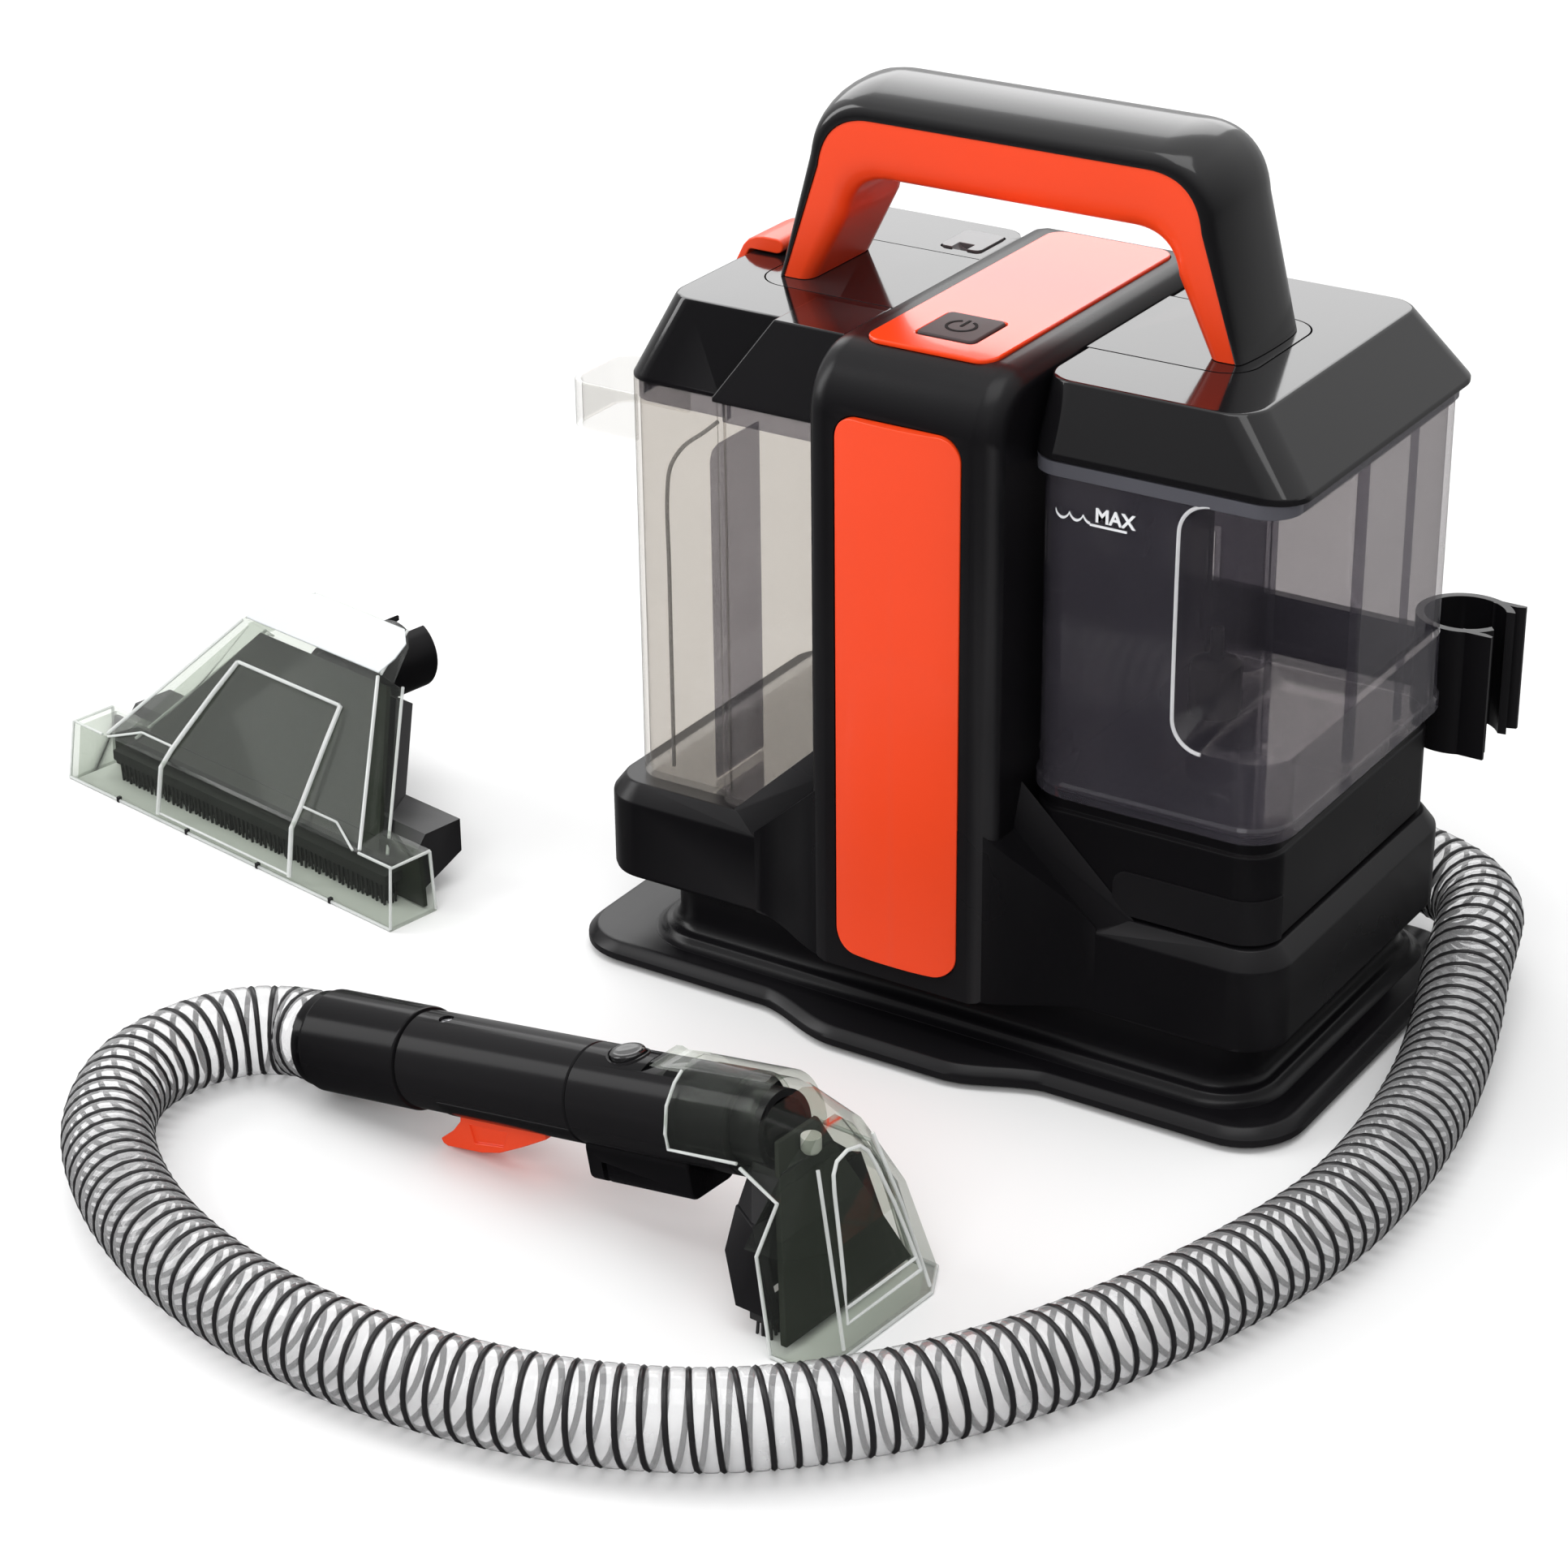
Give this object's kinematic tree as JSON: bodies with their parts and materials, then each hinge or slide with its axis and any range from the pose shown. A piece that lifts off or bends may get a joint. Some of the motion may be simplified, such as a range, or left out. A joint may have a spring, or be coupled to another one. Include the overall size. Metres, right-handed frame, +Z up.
{
  "type": "spot extractor",
  "caption": "Carry-by-hand carpet and upholstery washer with a clean tank, a dirty tank, a ribbed suction hose, a spray wand with a small nozzle and a loose wide nozzle.",
  "frame": {"origin": "on the floor, under the centre of the box round the machine, wand and wide nozzle, without the hose", "axes": "+X to the machine's right as its user faces its front strip, +Y to its back, +Z up"},
  "size_m": [0.7161, 0.5749, 0.384],
  "materials": {
    "satin_black": "satin moulded ABS",
    "gloss_black": "polished ABS",
    "orange": "smooth orange-red ABS",
    "smoke_clear": "smoke-tinted clear plastic",
    "nozzle_clear": "clear grey-green plastic",
    "rubber": "matt rubber",
    "steel": "plated steel",
    "copper": "glass-filled nylon",
    "board": "circuit board",
    "hose_pvc": "clear PVC with a black helix",
    "grey_plastic": "moulded grey plastic",
    "bristle": "nylon bristle",
    "white_plastic": "moulded acetal"
  },
  "bodies": {
    "machine": {"base_plate": "satin_black", "rubber_foot_1": "rubber", "rubber_foot_2": "rubber", "rubber_foot_3": "rubber", "rubber_foot_4": "rubber", "lower_housing": "satin_black", "column_shell": "satin_black", "front_strip": "orange", "top_panel": "orange", "power_switch": "satin_black", "control_board": "board", "handle_shell": "gloss_black", "handle_trim": "orange", "handle_base_left": "gloss_black", "handle_base_right": "gloss_black", "rear_cover": "satin_black", "rear_screw_1": "steel", "rear_screw_2": "steel", "rear_screw_3": "steel", "rear_screw_4": "steel", "cord_gland": "rubber", "cord_hook_lower": "satin_black", "cord_hook_upper": "satin_black", "wand_cradle": "satin_black", "hose_outlet": "satin_black", "hose_rest": "satin_black", "suction_motor": "steel", "fan_housing": "grey_plastic", "water_pump": "grey_plastic", "suction_duct": "grey_plastic", "clean_port_seal": "rubber", "dirty_port_seal": "rubber", "suction_hose": "hose_pvc"},
    "power_button": {"power_button": "gloss_black"},
    "impeller": {"impeller": "copper"},
    "clean_tank": {"clean_tank": "smoke_clear", "clean_tank_lid": "gloss_black", "clean_tank_grip": "smoke_clear", "clean_tank_valve": "white_plastic"},
    "filler_flap": {"filler_flap": "grey_plastic"},
    "clean_tank_latch": {"clean_tank_latch": "orange"},
    "dirty_tank": {"dirty_tank": "smoke_clear", "dirty_tank_base": "satin_black", "dirty_tank_lid": "gloss_black", "dirty_standpipe": "smoke_clear"},
    "float": {"float_ball": "grey_plastic"},
    "wand": {"wand_cuff": "satin_black", "wand_body": "satin_black", "wand_front": "satin_black", "trigger_valve": "white_plastic"},
    "trigger": {"trigger": "orange"},
    "release_button": {"release_button": "gloss_black"},
    "nozzle": {"nozzle_cover": "nozzle_clear", "nozzle_support": "satin_black", "nozzle_brush": "bristle", "spray_tip": "white_plastic"},
    "wide_nozzle": {"wide_cover": "nozzle_clear", "wide_body": "satin_black", "wide_brush": "bristle"}
  },
  "joints": [
    {"name": "power_button_press", "type": "slide", "parent": "machine", "child": "power_button", "axis": [0, 0, -1], "range_m": [0, 0.002], "stiffness_N_per_m": 400},
    {"name": "impeller_spin", "type": "hinge", "parent": "machine", "child": "impeller", "pos_m": [0.15176, 0.09879, 0.207], "axis": [0, 0, 1], "continuous": true},
    {"name": "clean_tank_slide", "type": "slide", "parent": "machine", "child": "clean_tank", "axis": [-1, 0, 0], "range_m": [0, 0.12]},
    {"name": "filler_flap_hinge", "type": "hinge", "parent": "clean_tank", "child": "filler_flap", "pos_m": [0.09276, 0.1564, 0.3008], "axis": [-1, 0, 0], "range_deg": [0, 100]},
    {"name": "latch_hinge", "type": "hinge", "parent": "clean_tank", "child": "clean_tank_latch", "pos_m": [0.03126, 0.10179, 0.304], "axis": [0, 1, 0], "range_deg": [0, 30], "stiffness_Nm_per_rad": 0.05},
    {"name": "dirty_tank_slide", "type": "slide", "parent": "machine", "child": "dirty_tank", "axis": [1, 0, 0], "range_m": [0, 0.12]},
    {"name": "float_rise", "type": "slide", "parent": "dirty_tank", "child": "float", "axis": [0, 0, 1], "range_m": [0, 0.06]},
    {"name": "wand_lift", "type": "hinge", "parent": "machine", "child": "wand", "pos_m": [-0.04017, -0.15681, 0.04251], "axis": [-0.0993, -0.9951, 0], "range_deg": [0, 60]},
    {"name": "trigger_pull", "type": "hinge", "parent": "wand", "child": "trigger", "pos_m": [0.0862, -0.16943, 0.02823], "axis": [0.0993, 0.9951, 0], "range_deg": [0, 8], "stiffness_Nm_per_rad": 1},
    {"name": "release_press", "type": "slide", "parent": "wand", "child": "release_button", "axis": [0.183, -0.0183, -0.9829], "range_m": [0, 0.0025], "stiffness_N_per_m": 400},
    {"name": "nozzle_pull", "type": "slide", "parent": "wand", "child": "nozzle", "axis": [0.9781, -0.0976, 0.184], "range_m": [0, 0.035]},
    {"name": "wide_nozzle_slide", "type": "slide", "parent": "machine", "child": "wide_nozzle", "axis": [-1, 0, 0], "range_m": [0, 0.1]}
  ]
}
